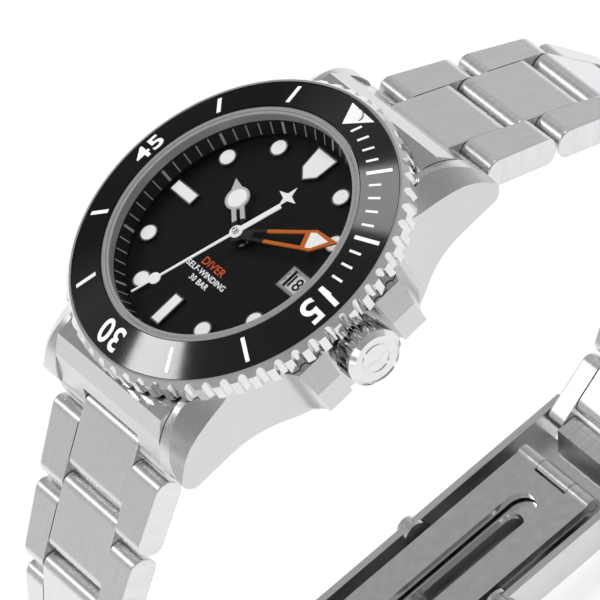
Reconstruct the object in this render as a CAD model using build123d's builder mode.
from build123d import *
from math import atan2, cos, degrees, hypot, radians, sin
import os

# Dive watch on a three-piece-link steel bracelet, all sizes in mm.
# Frame: origin at the middle of the case back's outer face, +Z out of the dial,
# +Y to 12 o'clock, +X to the crown at 3 o'clock.

# ---------------------------------------------------------------- sizes: case
CASE_R = 18.6
CASE_BOTTOM = 0.7
CASE_TOP = 8.4
LUG_HALF = 13.45
LUG_GAP = 20.1
LUG_REACH = CASE_R + 4.4
LUG_BLEND = 12.0
LUG_DROP_START = CASE_R - 1.6
# Along each lug: distance from the middle, then the bevel's inner and outer edge (across, height).
LUG_BEVEL = (
    (10.5, (15.2, 8.4), (15.9, 8.0)),
    (14.0, (13.0, 8.4), (14.2, 7.3)),
    (17.3, (10.9, 8.4), (13.6, 6.4)),
    (20.0, (11.6, 7.1), (13.5, 5.5)),
    (22.3, (12.3, 4.6), (13.5, 3.4)),
    (23.6, (12.7, 2.8), (13.5, 2.0)),
)
GUARD_IN = 3.8
GUARD_OUT = 6.95
GUARD_REACH = CASE_R + 2.5
CASE_BORE_R = 14.2
NECK_R = 16.2
NECK_TOP = 10.55
RIM_R = 14.98
RIM_TOP = 12.2
RIM_BORE_R = 14.5
DIAL_SEAT = 8.6
BACK_R = 16.9
BACK_FLANGE = 1.0
BACK_PLUG_R = 15.9
BACK_TOP = 2.6
BACK_WALL = 1.2
BACK_NOTCHES = 6
FIT = 0.05

# --------------------------------------------------------------- sizes: bezel
BEZEL_R = 20.0
BEZEL_BOTTOM = 8.5
BEZEL_EDGE = 10.4
BEZEL_CHAMFER = 0.65
INSERT_R = 19.0
INSERT_BORE_R = 15.11
INSERT_LOW = 11.0
INSERT_RISE = 1.23
INSERT_THICK = 0.6
KNURLS = 60
KNURL_R = 0.6
KNURL_DEPTH = 0.5
BEZEL_TURN = 2.58
PEARL_R = 0.8
PEARL_AT = 17.5

# ------------------------------------------------------- sizes: dial and hands
DIAL_R = 14.4
DIAL_THICK = 0.38
DIAL_TOP = 9.0
CHAPTER_IN = 13.5
CHAPTER_TOP = 10.95
CRYSTAL_R = 14.1
CRYSTAL_THICK = 1.38
MARKER_HEIGHT = 0.42
LUME_PROUD = 0.05
DOT_AT = 11.67
DOT_R = 1.075
DOT_LUME_R = 0.9
BAR_WIDTH = 1.56
BAR_IN = 8.85
BAR_OUT = 12.75
SHIELD_TOP = 12.9
SHIELD_TIP = 8.9
SHIELD_HALF = 1.75
DATE_AT = 10.0
DATE_FRAME_X = 3.4
DATE_FRAME_Y = 2.9
DATE_OPEN_X = 2.6
DATE_OPEN_Y = 2.15
POST_R = 0.35
HUB_FIT = 0.05
HAND_THICK = 0.2
HOUR_Z = 9.65
MINUTE_Z = 10.1
SECOND_Z = 10.55
MINUTE_ANGLE = 62.0
HOUR_ANGLE = 300.0 + MINUTE_ANGLE / 12
SECOND_ANGLE = 199.6
HOUR_DISC_AT = 5.2
HOUR_DISC_R = 1.45
HOUR_LENGTH = 7.95
MINUTE_LENGTH = 12.7
MINUTE_HALF = 1.35
SECOND_LENGTH = 12.8
SECOND_TAIL = 5.45
SECOND_DISC_AT = 9.96
SECOND_DISC_R = 0.7

# ------------------------------------------------------------ sizes: movement
MOVE_R = 12.9
PLATE_TOP = 8.1
PLATE_BOTTOM = 6.7
BRIDGE_BOTTOM = 4.9
DATE_RING_R = 12.6
DATE_RING_IN = 8.0
ROTOR_R = 12.3
ROTOR_TOP = 4.2
ROTOR_THICK = 1.0
BARREL_R = 4.0
BARREL_AT = (-6.3, 5.2)
BALANCE_R = 3.4
BALANCE_AT = (4.6, -7.4)
STAFF_R = 0.3

# --------------------------------------------------------------- sizes: crown
CROWN_Z = 4.95
CROWN_R = 3.3
CROWN_IN = CASE_R + 0.35
CROWN_OUT = CROWN_IN + 3.3
CROWN_FLUTES = 24
CROWN_TRAVEL = 1.5
TUBE_R = 1.6
TUBE_BORE_R = 0.8
TUBE_OUT = CASE_R + 1.8
STEM_R = 0.45

# ------------------------------------------------------------ sizes: bracelet
PITCH = 9.7
LINK_THICK = 3.3
LINK_END_R = 0.42 * LINK_THICK
LINK_GAP = 0.4
PIN_SETBACK = 1.455
CENTRE_HALF = 5.1
SIDE_GAP = 0.08
HALF_WIDTH = 10.3
HALF_STEP = 0.77
TAPER_ROWS = 3
PIN_R = 0.6
PIN_FIT = 0.05
PIN_CAP = 1.0
HEAD_PIN_Y = CASE_R + 3.3
HEAD_PIN_Z = 1.6
SLOPES_12 = (31.0, 32.0, 60.0, 88.6, 109.4, 124.3, 139.5, 160.1)
SLOPES_6 = (42.5, 44.0, 60.0, 88.9, 114.6, 134.7, 153.5)
SPRING_BAR_Y = CASE_R + 1.1
SPRING_BAR_Z = 5.6
SPRING_BAR_R = 0.75
SPRING_TIP_R = 0.4

# --------------------------------------------------------------- sizes: clasp
COVER_WALL = 1.0
COVER_HALF = 9.2
COVER_ROOF = 1.95
COVER_DROP = 1.3
BLADE_THICK = 0.9
BLADE_PIN_R = 0.5
BLADE_EYE_R = 1.05
MIDDLE_HALF = 5.5
BOTTOM_HALF = 6.5
FOLD_IN = 6.0
FOLD_MID_N = 0.45
FOLD_LOW_N = -0.45
LOCK_LENGTH = 12.5
LOCK_THICK = 0.8
LOCK_GAP = 0.15
BUTTON_R = 1.4
BUTTON_AT = 21.0
BUTTON_PROUD = 0.7
BUTTON_TRAVEL = 0.5


def finish(block, name):
    block.part.label = name
    export_step(block.part, f"parts/{name}.step")


def turned(z, angle):
    """The plane at height z whose +Y points along a hand at this clock angle."""
    return Plane.XY.offset(z).rotated((0, 0, -angle))


def ring(outer, inner, low, high):
    with BuildPart() as piece:
        with BuildSketch(Plane.XY.offset(low)):
            Circle(outer)
            Circle(inner, mode=Mode.SUBTRACT)
        extrude(amount=high - low)
    return piece


os.makedirs("parts", exist_ok=True)

# ======================================================================= case
insert_drop = INSERT_THICK
insert_high = INSERT_LOW + INSERT_RISE
chapter_outer = RIM_BORE_R - FIT
gasket_outer = RIM_BORE_R - 0.02
crystal_low = CHAPTER_TOP + 0.02
crystal_top = crystal_low + CRYSTAL_THICK
holder_outer = CASE_BORE_R - FIT
holder_low = BACK_TOP + 0.35
back_seat = BACK_TOP + 0.25

with BuildPart() as guards:
    with BuildSketch(Plane.XY.offset(CASE_BOTTOM)):
        with BuildLine():
            Polyline(
                (CASE_R - 4, GUARD_OUT + 4),
                (CASE_R - 4, GUARD_IN),
                (GUARD_REACH, GUARD_IN),
                (GUARD_REACH, GUARD_OUT),
            )
            ThreePointArc(
                (GUARD_REACH, GUARD_OUT),
                (CASE_R - 0.3, GUARD_OUT + 0.75),
                (CASE_R - 2.5, GUARD_OUT + 2.5),
            )
            Line((CASE_R - 2.5, GUARD_OUT + 2.5), (CASE_R - 4, GUARD_OUT + 4))
        make_face()
    extrude(amount=CASE_TOP - CASE_BOTTOM)
    with BuildSketch(Plane.XZ):
        with BuildLine():
            Polyline(
                (CASE_R - 5, CASE_TOP),
                (GUARD_REACH - 1.6, CASE_TOP),
                (GUARD_REACH - 0.4, CROWN_Z + 0.65),
                (GUARD_REACH, CROWN_Z - 1.95),
                (CASE_R, CROWN_Z - 2.9),
                (CASE_R - 5, CROWN_Z - 2.9),
                close=True,
            )
        make_face()
    extrude(amount=-GUARD_OUT - 8, mode=Mode.INTERSECT)
    mirror(about=Plane.XZ)

with BuildPart() as lug_bevels:
    for station, inner, outer in LUG_BEVEL:
        across = outer[0] - inner[0]
        down = inner[1] - outer[1]
        with BuildSketch(Plane.XZ.offset(-station)):
            Polygon(
                (inner[0] - across / 2, inner[1] + down / 2),
                (outer[0] + across, outer[1] - down),
                (outer[0] + across, inner[1] + down / 2),
                align=None,
            )
    loft()
    mirror(about=Plane.YZ)
    mirror(about=Plane.XZ)

with BuildPart() as case_middle:
    with BuildSketch(Plane.XY.offset(CASE_BOTTOM)) as outline:
        Circle(CASE_R)
        Rectangle(2 * LUG_HALF, 2 * LUG_REACH)
        fillet(
            [v for v in outline.vertices() if abs(abs(v.X) - LUG_HALF) < 0.01 and abs(v.Y) < CASE_R],
            LUG_BLEND,
        )
        for side in (-1, 1):
            with Locations((0, side * LUG_REACH)):
                Rectangle(LUG_GAP, 2 * LUG_REACH - 8, mode=Mode.SUBTRACT)
        Circle(CASE_R)
    extrude(amount=CASE_TOP - CASE_BOTTOM)
    with BuildSketch(Plane.YZ):
        with BuildLine():
            for side in (-1, 1):
                Line((0, CASE_TOP), (side * LUG_DROP_START, CASE_TOP))
                ThreePointArc(
                    (side * LUG_DROP_START, CASE_TOP),
                    (side * (LUG_DROP_START + 3.7), CASE_TOP - 1.6),
                    (side * (LUG_REACH - 0.1), CASE_TOP - 5.0),
                )
                ThreePointArc(
                    (side * (LUG_REACH - 0.1), CASE_TOP - 5.0),
                    (side * (LUG_REACH - 0.15), CASE_BOTTOM + 0.9),
                    (side * (LUG_REACH - 1.1), CASE_BOTTOM),
                )
                Line((side * (LUG_REACH - 1.1), CASE_BOTTOM), (0, CASE_BOTTOM))
        make_face()
    extrude(amount=2 * LUG_HALF, both=True, mode=Mode.INTERSECT)
    add(lug_bevels.part, mode=Mode.SUBTRACT)
    add(guards.part)
    with BuildSketch(Plane.XY.offset(CASE_TOP)):
        Circle(NECK_R)
    extrude(amount=NECK_TOP - CASE_TOP)
    with BuildSketch(Plane.XY.offset(NECK_TOP)):
        Circle(RIM_R)
    extrude(amount=RIM_TOP - NECK_TOP)
    with BuildSketch(Plane.XZ):
        with BuildLine():
            Polyline(
                (0, CASE_BOTTOM - 1),
                (BACK_R + FIT, CASE_BOTTOM - 1),
                (BACK_R + FIT, BACK_FLANGE),
                (BACK_PLUG_R + FIT, BACK_FLANGE),
                (BACK_PLUG_R + FIT, back_seat),
                (CASE_BORE_R, back_seat),
                (CASE_BORE_R, DIAL_SEAT),
                (RIM_BORE_R, DIAL_SEAT),
                (RIM_BORE_R, RIM_TOP + 1),
                (0, RIM_TOP + 1),
                close=True,
            )
        make_face()
    revolve(axis=Axis.Z, mode=Mode.SUBTRACT)
    with BuildSketch(Plane.YZ.offset(CASE_BORE_R - 2)):
        with Locations((0, CROWN_Z)):
            Circle(TUBE_R)
    extrude(amount=CASE_R - CASE_BORE_R + 3, mode=Mode.SUBTRACT)
    with BuildSketch(Plane.YZ.offset(-LUG_GAP / 2 - 1.4)):
        with Locations((SPRING_BAR_Y, SPRING_BAR_Z), (-SPRING_BAR_Y, SPRING_BAR_Z)):
            Circle(SPRING_TIP_R + FIT)
    extrude(amount=LUG_GAP + 2.8, mode=Mode.SUBTRACT)
    with BuildSketch(Plane.XY.offset(NECK_TOP - 1.0)):
        Circle(NECK_R + 0.01)
        Circle(NECK_R - 0.45, mode=Mode.SUBTRACT)
    extrude(amount=0.5, mode=Mode.SUBTRACT)
    with BuildSketch(Plane.XY.offset(CASE_TOP - 0.35)):
        Circle(NECK_R + 1.5)
        Circle(NECK_R + 0.2, mode=Mode.SUBTRACT)
    extrude(amount=0.5, mode=Mode.SUBTRACT)
finish(case_middle, "case_middle")

with BuildPart() as case_back:
    with BuildSketch(Plane.XY):
        Circle(BACK_R)
        with PolarLocations(BACK_R, BACK_NOTCHES):
            Rectangle(2.0, 2.4, mode=Mode.SUBTRACT)
    extrude(amount=BACK_FLANGE)
    with BuildSketch(Plane.XY.offset(BACK_FLANGE)):
        Circle(BACK_PLUG_R)
    extrude(amount=BACK_TOP - BACK_FLANGE)
    with BuildSketch(Plane.XY.offset(BACK_WALL)):
        Circle(BACK_PLUG_R - 1.3)
    extrude(amount=BACK_TOP, mode=Mode.SUBTRACT)
    with BuildSketch(Plane.XY):
        Circle(BACK_PLUG_R - 2.6)
        Circle(BACK_PLUG_R - 3.2, mode=Mode.SUBTRACT)
    extrude(amount=0.25, mode=Mode.SUBTRACT)
    chamfer(case_back.faces().sort_by(Axis.Z)[0].outer_wire().edges(), 0.25)
finish(case_back, "case_back")

case_back_gasket = ring(BACK_PLUG_R - 0.1, BACK_PLUG_R - 1.1, BACK_TOP, back_seat)
finish(case_back_gasket, "case_back_gasket")

with BuildPart() as crown_tube:
    with BuildSketch(Plane.YZ.offset(CASE_BORE_R + 0.6)):
        with Locations((0, CROWN_Z)):
            Circle(TUBE_R)
            Circle(TUBE_BORE_R, mode=Mode.SUBTRACT)
    extrude(amount=TUBE_OUT - CASE_BORE_R - 0.6)
finish(crown_tube, "crown_tube")

bezel_wire = ring(NECK_R - 0.02, NECK_R - 0.4, NECK_TOP - 0.95, NECK_TOP - 0.55)
finish(bezel_wire, "bezel_retaining_wire")

with BuildPart() as click_spring:
    with BuildSketch(Plane.XY.offset(CASE_TOP - 0.3)):
        Circle(NECK_R + 1.4)
        Circle(NECK_R + 0.3, mode=Mode.SUBTRACT)
        with PolarLocations(NECK_R + 0.9, 3):
            Rectangle(0.5, 3.0, mode=Mode.SUBTRACT)
    extrude(amount=0.25)
finish(click_spring, "bezel_click_spring")

# ============================================================== glass and dial
with BuildPart() as crystal:
    with BuildSketch(Plane.XY.offset(crystal_low)):
        Circle(CRYSTAL_R)
    extrude(amount=CRYSTAL_THICK)
    chamfer(crystal.faces().sort_by(Axis.Z)[-1].edges(), 0.25)
finish(crystal, "crystal")

crystal_gasket = ring(gasket_outer, CRYSTAL_R + 0.02, crystal_low, RIM_TOP - 0.05)
finish(crystal_gasket, "crystal_gasket")

with BuildPart() as chapter_ring:
    with BuildSketch(Plane.XZ):
        with BuildLine():
            Polyline(
                (CHAPTER_IN, DIAL_TOP + 0.02),
                (chapter_outer, DIAL_TOP + 0.02),
                (chapter_outer, CHAPTER_TOP),
                (chapter_outer - 0.1, CHAPTER_TOP),
                (CHAPTER_IN, DIAL_TOP + 0.3),
                close=True,
            )
        make_face()
    revolve(axis=Axis.Z)
finish(chapter_ring, "chapter_ring")

with BuildPart() as dial:
    with BuildSketch(Plane.XY.offset(DIAL_TOP - DIAL_THICK)):
        Circle(DIAL_R)
        Circle(POST_R + 0.5, mode=Mode.SUBTRACT)
        with Locations((DATE_AT, 0)):
            Rectangle(DATE_OPEN_X, DATE_OPEN_Y, mode=Mode.SUBTRACT)
    extrude(amount=DIAL_THICK)
finish(dial, "dial")

dots = [(DOT_AT * sin(radians(30 * h)), DOT_AT * cos(radians(30 * h))) for h in (1, 2, 4, 5, 7, 8, 10, 11)]
bar_length = BAR_OUT - BAR_IN
bar_middle = (BAR_OUT + BAR_IN) / 2
rim_wall = DOT_R - DOT_LUME_R
shield = (
    (-SHIELD_HALF, SHIELD_TOP),
    (SHIELD_HALF, SHIELD_TOP),
    (SHIELD_HALF * 0.8, SHIELD_TIP + 1.15),
    (0, SHIELD_TIP),
    (-SHIELD_HALF * 0.8, SHIELD_TIP + 1.15),
)


def marker_plan(shrink):
    """The applied markers' outlines, drawn in by the rim's width."""
    with Locations(*dots):
        Circle(DOT_R - shrink)
    with Locations((-bar_middle, 0)):
        Rectangle(bar_length - 2 * shrink, BAR_WIDTH - 2 * shrink)
    with Locations((0, -bar_middle)):
        Rectangle(BAR_WIDTH - 2 * shrink, bar_length - 2 * shrink)
    with BuildSketch(mode=Mode.PRIVATE) as badge:
        Polygon(*shield, align=None)
        if shrink:
            offset(amount=-shrink, mode=Mode.REPLACE)
    add(badge.sketch)


with BuildPart() as hour_markers:
    with BuildSketch(Plane.XY.offset(DIAL_TOP)):
        marker_plan(0)
    extrude(amount=MARKER_HEIGHT)
    with BuildSketch(Plane.XY.offset(DIAL_TOP + 0.1)):
        marker_plan(rim_wall)
    extrude(amount=MARKER_HEIGHT, mode=Mode.SUBTRACT)
finish(hour_markers, "hour_markers")

with BuildPart() as marker_lume:
    with BuildSketch(Plane.XY.offset(DIAL_TOP + 0.1)):
        marker_plan(rim_wall + 0.01)
    extrude(amount=MARKER_HEIGHT - 0.1 + LUME_PROUD)
finish(marker_lume, "marker_lume")

with BuildPart() as date_frame:
    with BuildSketch(Plane.XY.offset(DIAL_TOP)):
        with Locations((DATE_AT, 0)):
            Rectangle(DATE_FRAME_X, DATE_FRAME_Y)
    extrude(amount=MARKER_HEIGHT)
    chamfer(date_frame.faces().sort_by(Axis.Z)[-1].edges(), 0.15)
    with BuildSketch(Plane.XY.offset(DIAL_TOP - 0.1)):
        with Locations((DATE_AT, 0)):
            Rectangle(DATE_OPEN_X, DATE_OPEN_Y)
    extrude(amount=1, mode=Mode.SUBTRACT)
finish(date_frame, "date_frame")

# ====================================================================== hands
post_top = SECOND_Z + HAND_THICK + 0.1
hub_bore = POST_R + HUB_FIT


def hand_slot_plan(shrink):
    """The minute hand's two openings: the long lower slot and the lume field."""
    return (
        ((-0.3, 2.0), (0.3, 2.0), (MINUTE_HALF - 0.55 - shrink, 8.3), (-MINUTE_HALF + 0.55 + shrink, 8.3)),
        (
            (-MINUTE_HALF + 0.4 + shrink, 8.9 + shrink),
            (MINUTE_HALF - 0.4 - shrink, 8.9 + shrink),
            (MINUTE_HALF - 0.35 - shrink, 9.6),
            (0, MINUTE_LENGTH - 1.2 - shrink),
            (-MINUTE_HALF + 0.35 + shrink, 9.6),
        ),
    )


with BuildPart() as hour_hand:
    with BuildSketch(turned(HOUR_Z, HOUR_ANGLE)):
        Circle(1.1)
        with Locations((0, HOUR_DISC_AT / 2)):
            Rectangle(1.5, HOUR_DISC_AT)
        with Locations((0, HOUR_DISC_AT / 2 + 0.1)):
            Rectangle(0.45, HOUR_DISC_AT - 2.9, mode=Mode.SUBTRACT)
        with Locations((0, HOUR_DISC_AT)):
            Circle(HOUR_DISC_R)
        Polygon((-0.75, HOUR_DISC_AT + 1.1), (0.75, HOUR_DISC_AT + 1.1), (0, HOUR_LENGTH), align=None)
        Circle(hub_bore, mode=Mode.SUBTRACT)
        with Locations((0, HOUR_DISC_AT)):
            Circle(HOUR_DISC_R - 0.3, mode=Mode.SUBTRACT)
    extrude(amount=HAND_THICK)
finish(hour_hand, "hour_hand")

with BuildPart() as hour_hand_lume:
    with BuildSketch(turned(HOUR_Z, HOUR_ANGLE)):
        with Locations((0, HOUR_DISC_AT)):
            Circle(HOUR_DISC_R - 0.31)
    extrude(amount=HAND_THICK)
finish(hour_hand_lume, "hour_hand_lume")

with BuildPart() as minute_hand:
    with BuildSketch(turned(MINUTE_Z, MINUTE_ANGLE)):
        Polygon(
            (-0.6, 0.5), (0.6, 0.5), (MINUTE_HALF - 0.15, 8.4), (MINUTE_HALF, 9.6),
            (0, MINUTE_LENGTH), (-MINUTE_HALF, 9.6), (-MINUTE_HALF + 0.15, 8.4),
            align=None,
        )
        for opening in hand_slot_plan(0):
            Polygon(*opening, align=None, mode=Mode.SUBTRACT)
        Circle(1.0)
        Circle(hub_bore, mode=Mode.SUBTRACT)
    extrude(amount=HAND_THICK)
finish(minute_hand, "minute_hand")

with BuildPart() as minute_hand_lume:
    with BuildSketch(turned(MINUTE_Z, MINUTE_ANGLE)):
        Polygon(*hand_slot_plan(0.02)[1], align=None)
    extrude(amount=HAND_THICK)
finish(minute_hand_lume, "minute_hand_lume")

with BuildPart() as second_hand:
    with BuildSketch(turned(SECOND_Z, SECOND_ANGLE)):
        Circle(0.75)
        Polygon((-0.16, 0), (0.16, 0), (0.08, SECOND_LENGTH), (-0.08, SECOND_LENGTH), align=None)
        with Locations((0, -SECOND_TAIL / 2)):
            Rectangle(0.6, SECOND_TAIL)
        with Locations((0, SECOND_DISC_AT)):
            Circle(SECOND_DISC_R)
        Circle(hub_bore, mode=Mode.SUBTRACT)
    extrude(amount=HAND_THICK - 0.05)
finish(second_hand, "second_hand")

# =================================================================== movement
with BuildPart() as movement_plate:
    with BuildSketch(Plane.XY.offset(PLATE_BOTTOM)):
        Circle(MOVE_R)
    extrude(amount=PLATE_TOP - PLATE_BOTTOM)
    with BuildSketch(Plane.XY.offset(PLATE_TOP)):
        Circle(DATE_RING_IN - 0.3)
    extrude(amount=0.4)
    with BuildSketch(Plane.XY.offset(PLATE_TOP)):
        Circle(POST_R)
    extrude(amount=post_top - PLATE_TOP)
finish(movement_plate, "movement_plate")

with BuildPart() as movement_holder:
    with BuildSketch(Plane.XY.offset(holder_low)):
        Circle(holder_outer)
        Circle(MOVE_R + FIT, mode=Mode.SUBTRACT)
    extrude(amount=PLATE_TOP - holder_low)
    with BuildSketch(Plane.YZ.offset(MOVE_R - 1)):
        with Locations((0, CROWN_Z)):
            Circle(TUBE_BORE_R)
    extrude(amount=3, mode=Mode.SUBTRACT)
finish(movement_holder, "movement_holder")

with BuildPart() as movement_bridge:
    with BuildSketch(Plane.XY.offset(BRIDGE_BOTTOM)):
        Circle(MOVE_R - 0.4)
        with Locations(BARREL_AT):
            Circle(BARREL_R + 0.3, mode=Mode.SUBTRACT)
        with Locations(BALANCE_AT):
            Circle(BALANCE_R + 0.4, mode=Mode.SUBTRACT)
    extrude(amount=PLATE_BOTTOM - BRIDGE_BOTTOM)
    with BuildSketch(Plane.YZ.offset(8)):
        with Locations((0, BRIDGE_BOTTOM)):
            Rectangle(1.3, 1.4)
    extrude(amount=MOVE_R, mode=Mode.SUBTRACT)
    with BuildSketch(Plane.XY.offset(BRIDGE_BOTTOM)):
        Circle(1.2)
    extrude(amount=-(BRIDGE_BOTTOM - ROTOR_TOP + ROTOR_THICK + 0.1))
finish(movement_bridge, "movement_bridge")

with BuildPart() as barrel:
    with BuildSketch(Plane.XY.offset(BRIDGE_BOTTOM + 0.1)):
        with Locations(BARREL_AT):
            Circle(BARREL_R)
    extrude(amount=PLATE_BOTTOM - BRIDGE_BOTTOM - 0.15)
finish(barrel, "mainspring_barrel")

balance_low = BRIDGE_BOTTOM + 0.5
with BuildPart() as balance_staff:
    with BuildSketch(Plane.XY.offset(BRIDGE_BOTTOM)):
        with Locations(BALANCE_AT):
            Circle(STAFF_R)
    extrude(amount=PLATE_BOTTOM - BRIDGE_BOTTOM)
finish(balance_staff, "balance_staff")

with BuildPart() as balance_wheel:
    with BuildSketch(Plane.XY.offset(balance_low)):
        with Locations(BALANCE_AT):
            Circle(BALANCE_R)
            Circle(BALANCE_R - 0.5, mode=Mode.SUBTRACT)
            Rectangle(2 * BALANCE_R - 0.4, 0.5)
            Circle(0.8)
            Circle(STAFF_R + HUB_FIT, mode=Mode.SUBTRACT)
    extrude(amount=0.5)
finish(balance_wheel, "balance_wheel")

with BuildPart() as rotor:
    with BuildSketch(Plane.XY.offset(ROTOR_TOP - ROTOR_THICK)):
        with BuildLine():
            ThreePointArc((-ROTOR_R, 0), (0, -ROTOR_R), (ROTOR_R, 0))
            Line((ROTOR_R, 0), (-ROTOR_R, 0))
        make_face()
        Circle(2.4)
        Circle(1.2 + FIT, mode=Mode.SUBTRACT)
    extrude(amount=ROTOR_THICK)
    with BuildSketch(Plane.XY.offset(ROTOR_TOP - 0.4)):
        Circle(ROTOR_R - 2.2)
        Circle(2.6, mode=Mode.SUBTRACT)
    extrude(amount=1, mode=Mode.SUBTRACT)
finish(rotor, "rotor")

with BuildPart() as date_ring:
    with BuildSketch(Plane.XY.offset(PLATE_TOP + 0.05)):
        Circle(DATE_RING_R)
        Circle(DATE_RING_IN, mode=Mode.SUBTRACT)
        with PolarLocations(DATE_RING_IN, 31):
            Rectangle(0.5, 0.7, mode=Mode.SUBTRACT)
    extrude(amount=DIAL_TOP - DIAL_THICK - PLATE_TOP - 0.15)
finish(date_ring, "date_ring")

# ====================================================================== bezel
seat_slope = INSERT_RISE / (INSERT_R - INSERT_BORE_R)
flange_low = NECK_TOP + 0.1
with BuildPart() as rotating_bezel:
    with BuildSketch(Plane.XZ):
        with BuildLine():
            Polyline(
                (NECK_R + FIT, BEZEL_BOTTOM),
                (BEZEL_R, BEZEL_BOTTOM),
                (BEZEL_R, BEZEL_EDGE),
                (BEZEL_R - BEZEL_CHAMFER, BEZEL_EDGE + BEZEL_CHAMFER),
                (INSERT_R + 0.1, BEZEL_EDGE + BEZEL_CHAMFER),
                (INSERT_R + 0.1, INSERT_LOW - INSERT_THICK),
                (INSERT_R, INSERT_LOW - INSERT_THICK),
                (RIM_R + 0.1, insert_high - INSERT_THICK + seat_slope * (INSERT_BORE_R - RIM_R - 0.1)),
                (RIM_R + 0.1, flange_low),
                (NECK_R + FIT, flange_low),
                close=True,
            )
        make_face()
    revolve(axis=Axis.Z)
    with BuildSketch(Plane.XY.offset(BEZEL_BOTTOM - 1)):
        with PolarLocations(BEZEL_R + KNURL_R - KNURL_DEPTH, KNURLS, start_angle=-BEZEL_TURN + 180 / KNURLS):
            Circle(KNURL_R)
    extrude(amount=BEZEL_EDGE + BEZEL_CHAMFER - BEZEL_BOTTOM + 2, mode=Mode.SUBTRACT)
finish(rotating_bezel, "rotating_bezel")

with BuildPart() as bezel_insert:
    with BuildSketch(Plane.XZ):
        with BuildLine():
            Polyline(
                (INSERT_R, INSERT_LOW),
                (INSERT_BORE_R, insert_high),
                (INSERT_BORE_R, insert_high - INSERT_THICK),
                (INSERT_R, INSERT_LOW - INSERT_THICK),
                close=True,
            )
        make_face()
    revolve(axis=Axis.Z)
    pearl_plane = Plane.XY.offset(INSERT_LOW - 1).rotated((0, 0, -BEZEL_TURN))
    with BuildSketch(pearl_plane):
        with Locations((0, PEARL_AT)):
            Circle(PEARL_R + 0.02)
    extrude(amount=4, mode=Mode.SUBTRACT)
finish(bezel_insert, "bezel_insert")

pearl_low = INSERT_LOW - INSERT_THICK + seat_slope * (INSERT_R - PEARL_AT) + 0.3
with BuildPart() as bezel_pearl:
    with BuildSketch(Plane.XY.offset(pearl_low).rotated((0, 0, -BEZEL_TURN))):
        with Locations((0, PEARL_AT)):
            Circle(PEARL_R)
    extrude(amount=0.72)
    fillet(bezel_pearl.faces().sort_by(Axis.Z)[-1].edges(), 0.3)
finish(bezel_pearl, "bezel_pearl")

# ====================================================================== crown
with BuildPart() as crown:
    with BuildSketch(Plane.YZ.offset(CROWN_IN)):
        with Locations((0, CROWN_Z)):
            Circle(CROWN_R)
    extrude(amount=CROWN_OUT - CROWN_IN)
    chamfer(crown.faces().sort_by(Axis.X)[-1].edges(), 0.5)
    chamfer(crown.faces().sort_by(Axis.X)[0].edges(), 0.3)
    with BuildSketch(Plane.YZ.offset(CROWN_IN - 1)):
        with Locations((0, CROWN_Z)):
            with PolarLocations(CROWN_R + 0.12, CROWN_FLUTES):
                Circle(0.3)
    extrude(amount=CROWN_OUT - CROWN_IN + 0.3, mode=Mode.SUBTRACT)
    with BuildSketch(Plane.YZ.offset(CROWN_OUT - 0.15)):
        with Locations((0, CROWN_Z)):
            Circle(CROWN_R - 0.55)
    extrude(amount=1, mode=Mode.SUBTRACT)
    with BuildSketch(Plane.YZ.offset(CROWN_IN - 1)):
        with Locations((0, CROWN_Z)):
            Circle(TUBE_R + 0.5)
    extrude(amount=TUBE_OUT - CROWN_IN + 1.2, mode=Mode.SUBTRACT)
    with BuildSketch(Plane.YZ.offset(CROWN_OUT - 0.15)):
        with Locations((0, CROWN_Z)):
            Circle(CROWN_R - 1.5)
            Circle(CROWN_R - 1.75, mode=Mode.SUBTRACT)
    extrude(amount=0.1)
finish(crown, "crown")

with BuildPart() as crown_stem:
    with BuildSketch(Plane.YZ.offset(MOVE_R - 4)):
        with Locations((0, CROWN_Z)):
            Circle(STEM_R)
    extrude(amount=TUBE_OUT + 0.2 - MOVE_R + 4)
finish(crown_stem, "crown_stem")

with BuildPart() as crown_gasket:
    with BuildSketch(Plane.YZ.offset(CROWN_IN + 0.3)):
        with Locations((0, CROWN_Z)):
            Circle(TUBE_R + 0.45)
            Circle(TUBE_R + 0.05, mode=Mode.SUBTRACT)
    extrude(amount=0.6)
finish(crown_gasket, "crown_gasket")

# =================================================================== end links
lug_wall = LUG_GAP / 2 - 0.07
eye_r = PIN_SETBACK - 0.1
notch_r = PIN_SETBACK + 0.7


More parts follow.
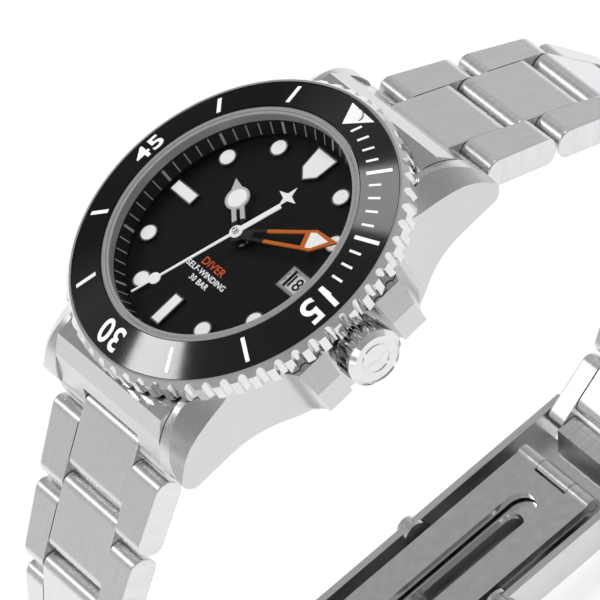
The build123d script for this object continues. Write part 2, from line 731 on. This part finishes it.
def end_link_block(side):
    with BuildPart() as block:
        with BuildSketch(Plane.YZ):
            with BuildLine():
                Polyline(
                    (side * (CASE_R - 4), CASE_TOP - 0.15),
                    (side * (HEAD_PIN_Y - 1.8), CASE_TOP - 0.3),
                    (side * (HEAD_PIN_Y - 0.3), CASE_TOP - 2.3),
                    (side * (HEAD_PIN_Y + 0.2), CASE_TOP - 3.7),
                    (side * (HEAD_PIN_Y + 0.95), HEAD_PIN_Z + 0.95),
                    (side * HEAD_PIN_Y, HEAD_PIN_Z),
                    (side * (HEAD_PIN_Y - 0.4), HEAD_PIN_Z - eye_r + 0.1),
                    (side * (CASE_R - 4), HEAD_PIN_Z - eye_r + 0.3),
                    close=True,
                )
            make_face()
            with Locations((side * HEAD_PIN_Y, HEAD_PIN_Z)):
                Circle(eye_r)
        extrude(amount=lug_wall, both=True)
        with BuildSketch(Plane.XY.offset(-2)):
            Circle(CASE_R + 0.1)
        extrude(amount=CASE_TOP + 4, mode=Mode.SUBTRACT)
        with BuildSketch(Plane.YZ):
            with BuildLine():
                Polyline(
                    (side * (HEAD_PIN_Y - notch_r), HEAD_PIN_Z - 4),
                    (side * (HEAD_PIN_Y - notch_r), HEAD_PIN_Z + 1.8),
                    (side * (HEAD_PIN_Y - 1.5), HEAD_PIN_Z + 2.6),
                    (side * (HEAD_PIN_Y + 4), HEAD_PIN_Z + 2.6),
                    (side * (HEAD_PIN_Y + 4), HEAD_PIN_Z - 4),
                    close=True,
                )
            make_face()
        extrude(amount=CENTRE_HALF + SIDE_GAP, both=True, mode=Mode.SUBTRACT)
        with BuildSketch(Plane.YZ):
            with Locations((side * HEAD_PIN_Y, HEAD_PIN_Z)):
                Circle(PIN_R + 0.01)
            with Locations((side * SPRING_BAR_Y, SPRING_BAR_Z)):
                Circle(SPRING_BAR_R + FIT)
        extrude(amount=LUG_GAP, both=True, mode=Mode.SUBTRACT)
    return block


end_link_12 = end_link_block(1)
finish(end_link_12, "end_link_12")
end_link_6 = end_link_block(-1)
finish(end_link_6, "end_link_6")

with BuildPart() as spring_bars:
    with BuildSketch(Plane.YZ):
        with Locations((SPRING_BAR_Y, SPRING_BAR_Z), (-SPRING_BAR_Y, SPRING_BAR_Z)):
            Circle(SPRING_BAR_R)
    extrude(amount=lug_wall, both=True)
    with BuildSketch(Plane.YZ):
        with Locations((SPRING_BAR_Y, SPRING_BAR_Z), (-SPRING_BAR_Y, SPRING_BAR_Z)):
            Circle(SPRING_TIP_R)
    extrude(amount=LUG_GAP / 2 + 1.2, both=True)
finish(spring_bars, "spring_bars")

with BuildPart() as end_link_pins:
    with BuildSketch(Plane.YZ):
        with Locations((HEAD_PIN_Y, HEAD_PIN_Z), (-HEAD_PIN_Y, HEAD_PIN_Z)):
            Circle(PIN_R)
    extrude(amount=lug_wall - 0.6, both=True)
finish(end_link_pins, "end_link_pins")

# =================================================================== bracelet
def side_plane(side, origin, angle):
    """Local X runs along the link, local Y out of the bracelet."""
    a = radians(angle)
    along = Vector(0, side * cos(a), -sin(a))
    out = Vector(0, side * sin(a), cos(a))
    return Plane(origin=(0, origin[0], origin[1]), x_dir=along, z_dir=along.cross(out))


def top_plane(side, origin, angle):
    """Local Y runs along the link, local Z out of the bracelet."""
    a = radians(angle)
    along = Vector(0, side * cos(a), -sin(a))
    out = Vector(0, side * sin(a), cos(a))
    return Plane(origin=(0, origin[0], origin[1]), x_dir=along.cross(out), z_dir=out)


def next_pin(side, origin, angle):
    a = radians(angle)
    return (origin[0] + side * PITCH * cos(a), origin[1] - PITCH * sin(a))


outer_start = PIN_SETBACK + LINK_GAP / 2
outer_end = PITCH + PIN_SETBACK - LINK_GAP / 2
centre_start = -PIN_SETBACK + LINK_GAP / 2
centre_end = PITCH - PIN_SETBACK - LINK_GAP / 2


def link_block(side, origin, angle, row):
    near = HALF_WIDTH - HALF_STEP * min(row, TAPER_ROWS)
    far = HALF_WIDTH - HALF_STEP * min(row + 1, TAPER_ROWS)
    beside = side_plane(side, origin, angle)
    above = top_plane(side, origin, angle)
    with BuildPart() as outers:
        with BuildSketch(beside):
            with Locations(((outer_start + outer_end) / 2, 0)):
                RectangleRounded(outer_end - outer_start, LINK_THICK, LINK_END_R)
        extrude(amount=HALF_WIDTH + 1, both=True)
        with BuildSketch(beside):
            with Locations((PITCH / 2, 0)):
                Rectangle(3 * PITCH, 3 * LINK_THICK)
        extrude(amount=CENTRE_HALF + SIDE_GAP, both=True, mode=Mode.SUBTRACT)
        with BuildSketch(above):
            Polygon(
                (-near, outer_start - 0.1), (near, outer_start - 0.1),
                (far, outer_end + 0.1), (-far, outer_end + 0.1),
                align=None,
            )
        extrude(amount=LINK_THICK, both=True, mode=Mode.INTERSECT)
        flanks = outers.faces().sort_by(Axis.X)
        fillet(flanks[0].edges() + flanks[-1].edges(), 0.22)
        with BuildSketch(beside.offset(side * (far - PIN_CAP))):
            with Locations((PITCH / 2, 0), (PITCH, 0)):
                Circle(PIN_R + 0.01)
        extrude(amount=-side * 2 * (HALF_WIDTH + 1), mode=Mode.SUBTRACT)
    with BuildPart() as centre:
        with BuildSketch(beside):
            with Locations(((centre_start + centre_end) / 2, 0)):
                RectangleRounded(centre_end - centre_start, LINK_THICK, LINK_END_R)
        extrude(amount=CENTRE_HALF, both=True)
        flanks = centre.faces().sort_by(Axis.X)
        fillet(flanks[0].edges() + flanks[-1].edges(), 0.15)
        with BuildSketch(beside):
            with Locations((0, 0)):
                Circle(PIN_R + PIN_FIT)
            with Locations((PITCH / 2, 0)):
                Circle(PIN_R + 0.01)
        extrude(amount=HALF_WIDTH, both=True, mode=Mode.SUBTRACT)
    with BuildPart() as pins:
        with BuildSketch(beside.offset(side * (far - PIN_CAP - PIN_FIT))):
            with Locations((PITCH / 2, 0)):
                Circle(PIN_R)
            if not (side < 0 and row == len(SLOPES_6) - 1):
                with Locations((PITCH, 0)):
                    Circle(PIN_R)
        extrude(amount=-side * (2 * far - PIN_CAP - PIN_FIT - 0.1))
    with BuildPart() as link:
        add(outers.part)
        add(centre.part)
        add(pins.part)
    return link


def chain(side, slopes, stem):
    pin = (side * HEAD_PIN_Y, HEAD_PIN_Z)
    for row, slope in enumerate(slopes):
        link = link_block(side, pin, slope, row)
        finish(link, f"{stem}_{row + 1}")
        pin = next_pin(side, pin, slope)
    return pin


end_12 = chain(1, SLOPES_12, "bracelet_link_12")
end_6 = chain(-1, SLOPES_6, "bracelet_link_6")

# ====================================================================== clasp
# Local X runs from the last pin of the 12 side (0) to that of the 6 side, local Y outwards.
CLASP = hypot(end_6[0] - end_12[0], end_6[1] - end_12[1])
clasp_slope = degrees(atan2(end_12[1] - end_6[1], end_6[0] - end_12[0]))
clasp_side = side_plane(1, end_12, clasp_slope)
clasp_top = top_plane(1, end_12, clasp_slope)
inside = COVER_HALF - COVER_WALL
roof_start = PIN_SETBACK + 0.4
roof_end = CLASP - roof_start
fold_out = CLASP - FOLD_IN
lock_pin = roof_end - LOCK_LENGTH
roof_top = COVER_ROOF + COVER_WALL

with BuildPart() as clasp_cover:
    with BuildSketch(clasp_side):
        with BuildLine():
            Polyline(
                (-PIN_SETBACK, -COVER_DROP), (-PIN_SETBACK, COVER_ROOF - 0.8), (roof_start, roof_top),
                (roof_end, roof_top), (roof_end, -COVER_DROP),
                close=True,
            )
        make_face()
    extrude(amount=COVER_HALF, both=True)
    cover_rim = [e for e in clasp_cover.edges() if abs(abs(e.center().X) - COVER_HALF) < 0.01]
    chamfer([e for e in cover_rim if e.length > 30 and e.center().Z < end_12[1]], 0.5)
    with BuildSketch(clasp_side):
        with Locations(((roof_start + roof_end) / 2, COVER_ROOF - 5)):
            Rectangle(roof_end - roof_start + 20, 10)
    extrude(amount=inside, both=True, mode=Mode.SUBTRACT)
    with BuildSketch(clasp_side):
        with Locations((-4 + roof_start, COVER_ROOF + 2)):
            Rectangle(8, 8)
    extrude(amount=inside, both=True, mode=Mode.SUBTRACT)
    with BuildSketch(clasp_side):
        Circle(PIN_SETBACK - LINK_GAP / 2)
        with BuildLine():
            Polyline(
                (0, -1.2), (0, 1.2), (roof_start - 0.6, COVER_ROOF), (roof_start, roof_top),
                (roof_start + 1.2, roof_top), (roof_start + 1.2, COVER_ROOF - 0.3), (roof_start, -1.2),
                close=True,
            )
        make_face()
    extrude(amount=CENTRE_HALF, both=True)
    with BuildSketch(clasp_side):
        Circle(PIN_R + PIN_FIT)
    extrude(amount=CENTRE_HALF + 1, both=True, mode=Mode.SUBTRACT)
    with BuildSketch(clasp_side):
        with Locations((fold_out, FOLD_MID_N)):
            Circle(BLADE_PIN_R + 0.01)
        with Locations((lock_pin, COVER_ROOF - 0.1)):
            Circle(BLADE_PIN_R + FIT)
        with Locations((BUTTON_AT, 0)):
            Circle(BUTTON_R + FIT)
    extrude(amount=COVER_HALF + 1, both=True, mode=Mode.SUBTRACT)
finish(clasp_cover, "clasp_cover")

with BuildPart() as cover_pin:
    with BuildSketch(clasp_side):
        with Locations((fold_out, FOLD_MID_N)):
            Circle(BLADE_PIN_R)
    extrude(amount=COVER_HALF - 0.1, both=True)
finish(cover_pin, "clasp_cover_pin")

with BuildPart() as middle_blade:
    with BuildSketch(clasp_side):
        with Locations((CLASP / 2, FOLD_MID_N)):
            Rectangle(CLASP - 2 * FOLD_IN - 1.2, BLADE_THICK)
        with Locations((fold_out, FOLD_MID_N)):
            Circle(BLADE_EYE_R)
    extrude(amount=MIDDLE_HALF, both=True)
    with BuildSketch(clasp_side):
        with Locations((FOLD_IN, FOLD_LOW_N)):
            Circle(BLADE_EYE_R + 0.25)
    extrude(amount=MIDDLE_HALF + 1, both=True, mode=Mode.SUBTRACT)
    with BuildSketch(clasp_side):
        with Locations((FOLD_IN, FOLD_LOW_N)):
            Circle(BLADE_EYE_R)
        with BuildLine():
            Polyline(
                (FOLD_IN, FOLD_LOW_N), (FOLD_IN, FOLD_MID_N + BLADE_THICK / 2),
                (FOLD_IN + 2.5, FOLD_MID_N + BLADE_THICK / 2), (FOLD_IN + 2.5, FOLD_MID_N - BLADE_THICK / 2),
                (FOLD_IN + 1.0, FOLD_LOW_N),
                close=True,
            )
        make_face()
    extrude(amount=MIDDLE_HALF / 2, both=True)
    with BuildSketch(clasp_side):
        with Locations((FOLD_IN, FOLD_LOW_N)):
            Circle(BLADE_PIN_R + 0.01)
        with Locations((fold_out, FOLD_MID_N)):
            Circle(BLADE_PIN_R + PIN_FIT)
    extrude(amount=MIDDLE_HALF + 1, both=True, mode=Mode.SUBTRACT)
    with BuildSketch(clasp_top.offset(-5)):
        with Locations((0, CLASP / 2)):
            SlotCenterToCenter(CLASP / 3, 3.2, rotation=90)
    extrude(amount=10, mode=Mode.SUBTRACT)
finish(middle_blade, "clasp_middle_blade")

with BuildPart() as blade_pin:
    with BuildSketch(clasp_side):
        with Locations((FOLD_IN, FOLD_LOW_N)):
            Circle(BLADE_PIN_R)
    extrude(amount=BOTTOM_HALF - 0.1, both=True)
finish(blade_pin, "clasp_blade_pin")

bottom_high = FOLD_MID_N - BLADE_THICK / 2 - 0.35
tongue_start = CLASP - PIN_SETBACK - 2.2
with BuildPart() as bottom_blade:
    with BuildSketch(clasp_side):
        with Locations(((FOLD_IN + tongue_start) / 2, bottom_high - BLADE_THICK / 2)):
            Rectangle(tongue_start - FOLD_IN, BLADE_THICK)
        with Locations((FOLD_IN, FOLD_LOW_N)):
            Circle(BLADE_EYE_R)
    extrude(amount=BOTTOM_HALF, both=True)
    with BuildSketch(clasp_side):
        with Locations((FOLD_IN, FOLD_LOW_N)):
            Circle(BLADE_EYE_R + 0.3)
    extrude(amount=MIDDLE_HALF / 2 + 0.1, both=True, mode=Mode.SUBTRACT)
    with BuildSketch(clasp_side):
        with Locations((fold_out, FOLD_MID_N)):
            Circle(BLADE_EYE_R + 0.2)
    extrude(amount=BOTTOM_HALF + 1, both=True, mode=Mode.SUBTRACT)
    with BuildSketch(clasp_side):
        with BuildLine():
            Polyline(
                (tongue_start - 1.5, bottom_high), (tongue_start - 1.5, bottom_high - BLADE_THICK),
                (CLASP - 0.6, bottom_high - BLADE_THICK + 0.1), (CLASP, 0), (CLASP - 0.8, 0.8),
                close=True,
            )
        make_face()
        with Locations((CLASP, 0)):
            Circle(PIN_SETBACK - LINK_GAP / 2)
    extrude(amount=CENTRE_HALF, both=True)
    with BuildSketch(clasp_side):
        with Locations((CLASP, 0)):
            Circle(PIN_R + PIN_FIT)
        with Locations((FOLD_IN, FOLD_LOW_N)):
            Circle(BLADE_PIN_R + PIN_FIT)
    extrude(amount=BOTTOM_HALF + 1, both=True, mode=Mode.SUBTRACT)
    with BuildSketch(clasp_top.offset(-5)):
        with Locations((0, CLASP / 2)):
            SlotCenterToCenter(CLASP / 2.4, 4.4, rotation=90)
    extrude(amount=10, mode=Mode.SUBTRACT)
finish(bottom_blade, "clasp_bottom_blade")

lock_ear = COVER_HALF + LOCK_GAP
with BuildPart() as flip_lock:
    with BuildSketch(clasp_side):
        with Locations(((lock_pin + 1.5 + roof_end - 0.3) / 2, roof_top + LOCK_GAP + LOCK_THICK / 2)):
            Rectangle(roof_end - 0.3 - lock_pin - 1.5, LOCK_THICK)
    extrude(amount=lock_ear + LOCK_THICK, both=True)
    with BuildSketch(clasp_side):
        with Locations((lock_pin, COVER_ROOF - 0.1)):
            Circle(1.3)
        with BuildLine():
            Polyline(
                (lock_pin, COVER_ROOF - 1.4), (lock_pin, COVER_ROOF + 1.1),
                (lock_pin + 1.5, roof_top + LOCK_GAP + LOCK_THICK),
                (lock_pin + 4.5, roof_top + LOCK_GAP + LOCK_THICK), (lock_pin + 4.5, roof_top - 0.5),
                close=True,
            )
        make_face()
    extrude(amount=lock_ear + LOCK_THICK, both=True)
    with BuildSketch(clasp_side):
        with Locations((lock_pin, 0)):
            Rectangle(30, 2 * roof_top + 2 * LOCK_GAP)
    extrude(amount=lock_ear, both=True, mode=Mode.SUBTRACT)
    with BuildSketch(clasp_side):
        with Locations((lock_pin, COVER_ROOF - 0.1)):
            Circle(1.6)
    extrude(amount=lock_ear, both=True, mode=Mode.SUBTRACT)
    with BuildSketch(clasp_side):
        with Locations((lock_pin, COVER_ROOF - 0.1)):
            Circle(BLADE_PIN_R)
    extrude(amount=lock_ear + LOCK_THICK, both=True)
    with BuildSketch(clasp_side):
        with Locations((lock_pin, COVER_ROOF - 0.1)):
            Circle(BLADE_PIN_R + 0.5)
    extrude(amount=inside + 0.1, both=True, mode=Mode.SUBTRACT)
finish(flip_lock, "clasp_flip_lock")


def push_button(side):
    face = clasp_side.offset(side * (inside - 0.6))
    with BuildPart() as button:
        with BuildSketch(face):
            with Locations((BUTTON_AT, 0)):
                Circle(BUTTON_R + 0.4)
        extrude(amount=side * 0.55)
        with BuildSketch(face):
            with Locations((BUTTON_AT, 0)):
                Circle(BUTTON_R)
        extrude(amount=side * (0.6 + COVER_WALL + BUTTON_PROUD))
    return button


button_right = push_button(1)
finish(button_right, "clasp_button_right")
button_left = push_button(-1)
finish(button_left, "clasp_button_left")
